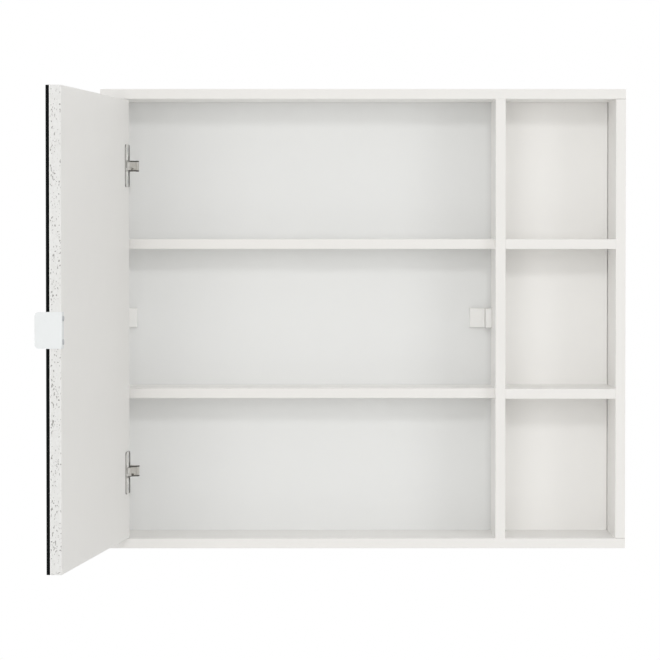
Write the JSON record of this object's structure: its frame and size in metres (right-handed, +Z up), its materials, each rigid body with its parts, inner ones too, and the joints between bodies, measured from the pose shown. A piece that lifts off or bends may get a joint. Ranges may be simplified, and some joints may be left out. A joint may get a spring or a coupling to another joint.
{
  "type": "mirror cabinet",
  "caption": "White wall cabinet with shelves, an open niche beside them, and a mirrored door that swings on concealed cup hinges.",
  "frame": {"origin": "on the wall plane, midway between the entry holes of the two hanger plates", "axes": "+X along the cabinet's width towards the niche, +Y towards the wall, +Z up; the open front faces -Y"},
  "size_m": [0.8535, 0.7369, 0.7018],
  "materials": {
    "white_board": "white melamine-faced chipboard, satin",
    "door_board": "white melamine-faced chipboard with pale speckled edges",
    "mirror": "silvered glass with ground edges",
    "adhesive": "white foam adhesive layer",
    "white_metal": "white enamel, satin",
    "white_plastic": "white moulded plastic",
    "nickel_steel": "nickel plate, satin",
    "zinc_steel": "zinc plate",
    "pin_steel": "bright drawn steel",
    "dowel_wood": "plain beech"
  },
  "bodies": {
    "cabinet": {"arm_pins_lower": "pin_steel", "arm_pins_upper": "pin_steel", "arm_screws_lower": "zinc_steel", "arm_screws_upper": "zinc_steel", "back_panel": "white_board", "bottom_panel": "white_board", "bracket_caps_left": "white_plastic", "bracket_caps_right": "white_plastic", "bracket_screws_left": "zinc_steel", "bracket_screws_right": "zinc_steel", "carcass_screws_bottom": "zinc_steel", "carcass_screws_top": "zinc_steel", "corner_bracket_left": "white_plastic", "corner_bracket_right": "white_plastic", "divider_panel": "white_board", "hanger_plate_left": "zinc_steel", "hanger_plate_right": "zinc_steel", "hanger_screws_left": "zinc_steel", "hanger_screws_right": "zinc_steel", "hinge_arm_lower": "nickel_steel", "hinge_arm_upper": "nickel_steel", "left_shelf_lower": "white_board", "left_shelf_upper": "white_board", "left_side_panel": "white_board", "mounting_plate_lower": "nickel_steel", "mounting_plate_upper": "nickel_steel", "niche_shelf_lower": "white_board", "niche_shelf_upper": "white_board", "plate_screws_lower": "zinc_steel", "plate_screws_upper": "zinc_steel", "right_side_panel": "white_board", "screw_caps_bottom": "white_plastic", "screw_caps_top": "white_plastic", "shelf_dowels_lower": "dowel_wood", "shelf_dowels_upper": "dowel_wood", "top_panel": "white_board"},
    "inner_links": {"inner_link_lower": "nickel_steel", "inner_link_upper": "nickel_steel"},
    "door": {"cup_pins_lower": "pin_steel", "cup_pins_upper": "pin_steel", "cup_screws_lower": "zinc_steel", "cup_screws_upper": "zinc_steel", "door_board": "door_board", "door_handle": "white_metal", "handle_screws": "zinc_steel", "hinge_cup_lower": "nickel_steel", "hinge_cup_upper": "nickel_steel", "mirror_glass": "mirror", "mirror_tape": "adhesive"},
    "outer_links": {"outer_link_lower": "nickel_steel", "outer_link_upper": "nickel_steel"}
  },
  "joints": [
    {"name": "inner_link_pivot", "type": "hinge", "parent": "cabinet", "child": "inner_links", "pos_m": [-0.35793, -0.14936, 0], "axis": [0, 0, 1], "range_deg": [-80.26, 3.34]},
    {"name": "door_swing", "type": "hinge", "parent": "inner_links", "child": "door", "pos_m": [-0.36098, -0.16537, 0], "axis": [0, 0, 1], "range_deg": [-7.36, 176.28]},
    {"name": "outer_link_pivot", "type": "hinge", "parent": "door", "child": "outer_links", "pos_m": [-0.35794, -0.16567, 0], "axis": [0, 0, 1], "range_deg": [-146.66, 6.13]}
  ],
  "couplings": [
    {"joint": "door_swing", "follows": "inner_link_pivot", "ratio": -2.1962},
    {"joint": "outer_link_pivot", "follows": "inner_link_pivot", "ratio": 1.8272}
  ]
}
